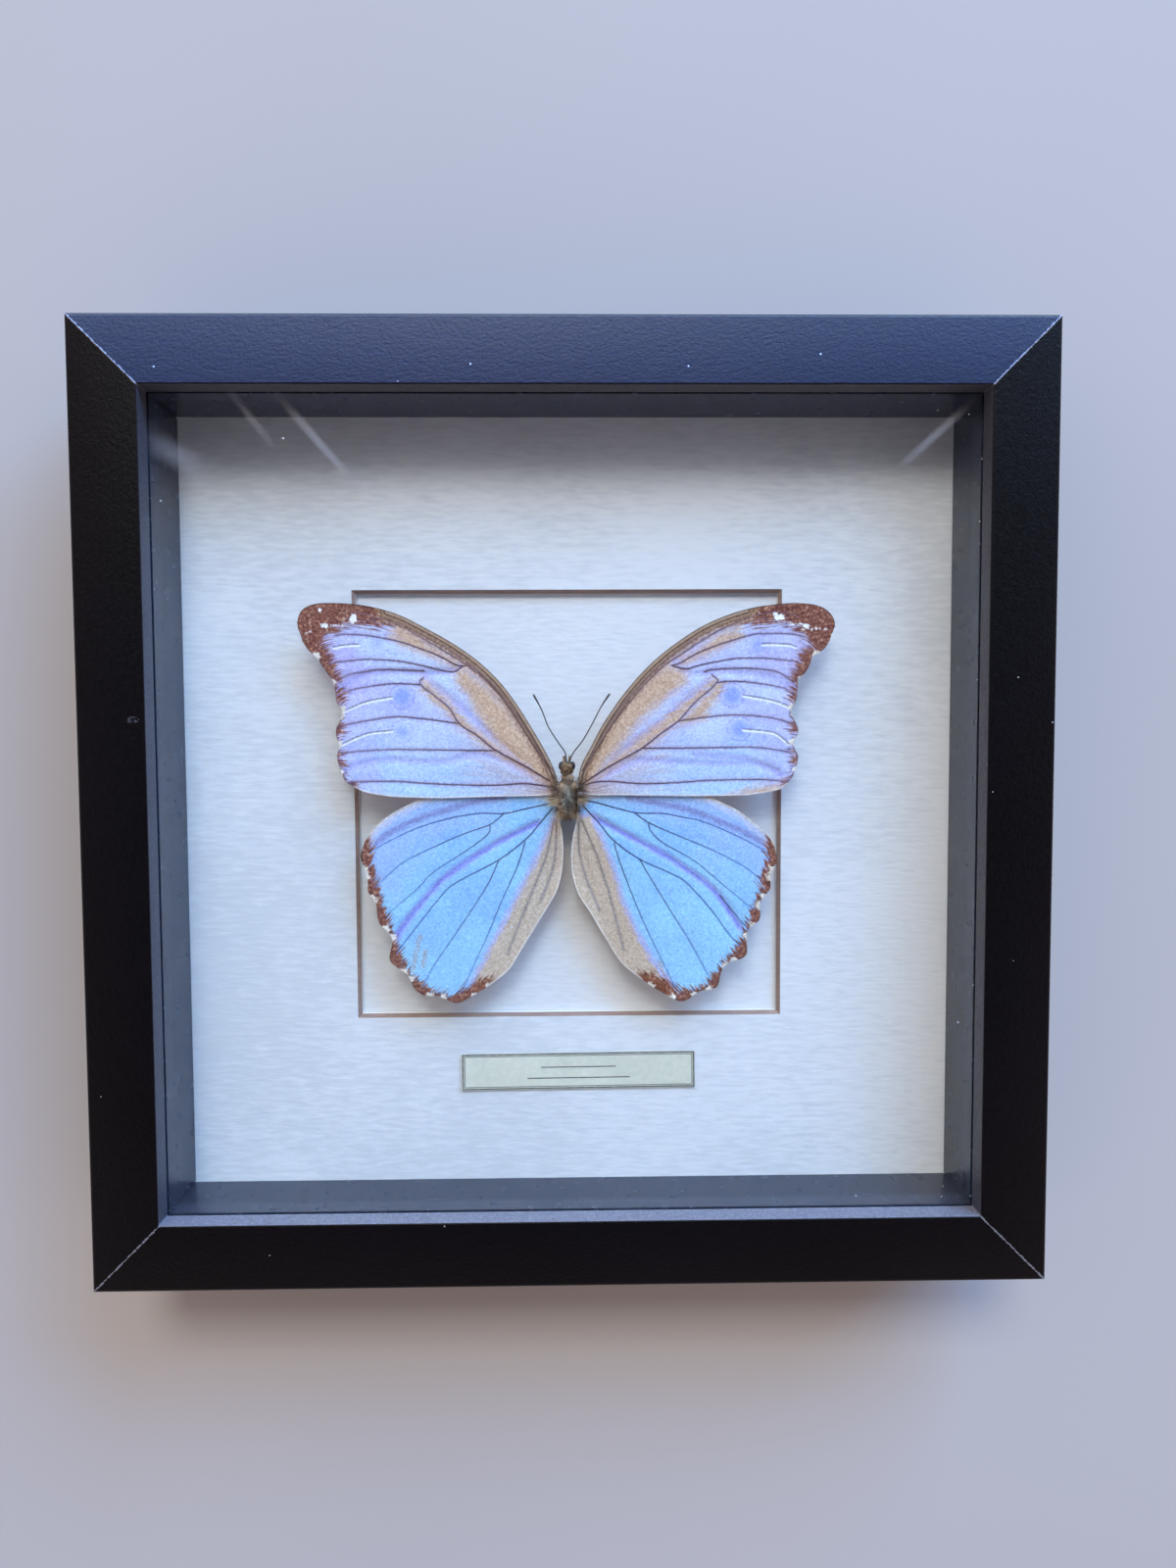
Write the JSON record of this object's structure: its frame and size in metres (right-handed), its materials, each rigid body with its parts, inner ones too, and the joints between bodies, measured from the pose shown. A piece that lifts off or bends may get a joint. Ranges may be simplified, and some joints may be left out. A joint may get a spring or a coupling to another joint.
{
  "type": "framed butterfly specimen",
  "caption": "Square deep black box frame holding a set blue butterfly over a windowed white mat with a small blank label, behind a clear pane.",
  "frame": {"origin": "centre of the square on which the back edges of the rails rest", "axes": "+Z out through the pane, +Y to the top of the picture, +X to the right of the picture seen from the front"},
  "size_m": [0.25, 0.25, 0.045],
  "materials": {
    "black_foil": "satin black foil wrapped on fibreboard",
    "black_strip": "satin black",
    "steel": "bright zinc plated",
    "clear_pane": "clear acrylic with dust specks",
    "mat_board": "matt white textured paper face",
    "backing_card": "matt off-white",
    "hardboard": "raw brown hardboard",
    "label_paper": "matt pale green paper with a ruled border",
    "foam": "matt soft foam",
    "body_hair": "short grey-brown hair",
    "antenna_horn": "dark dry horn",
    "forewing_scales": "pearly lavender blue scales with a brown tip",
    "hindwing_scales": "pearly sky blue scales with a brown scalloped margin"
  },
  "bodies": {
    "root": {"rail_bottom": "black_foil", "rail_right": "black_foil", "rail_top": "black_foil", "rail_left": "black_foil", "spacer_bottom": "black_strip", "spacer_right": "black_strip", "spacer_top": "black_strip", "spacer_left": "black_strip", "tab_bottom_1": "steel", "tab_bottom_2": "steel", "tab_right_1": "steel", "tab_right_2": "steel", "tab_top_1": "steel", "tab_top_2": "steel", "tab_left_1": "steel", "tab_left_2": "steel", "sawtooth_hanger": "steel", "pane": "clear_pane", "mat_board": "mat_board", "backing_card": "backing_card", "back_panel": "hardboard", "label": "label_paper", "mounting_block": "foam", "thorax": "body_hair", "head": "body_hair", "antenna_left": "antenna_horn", "antenna_right": "antenna_horn", "forewing_left": "forewing_scales", "forewing_right": "forewing_scales", "hindwing_left": "hindwing_scales", "hindwing_right": "hindwing_scales"}
  },
  "joints": []
}
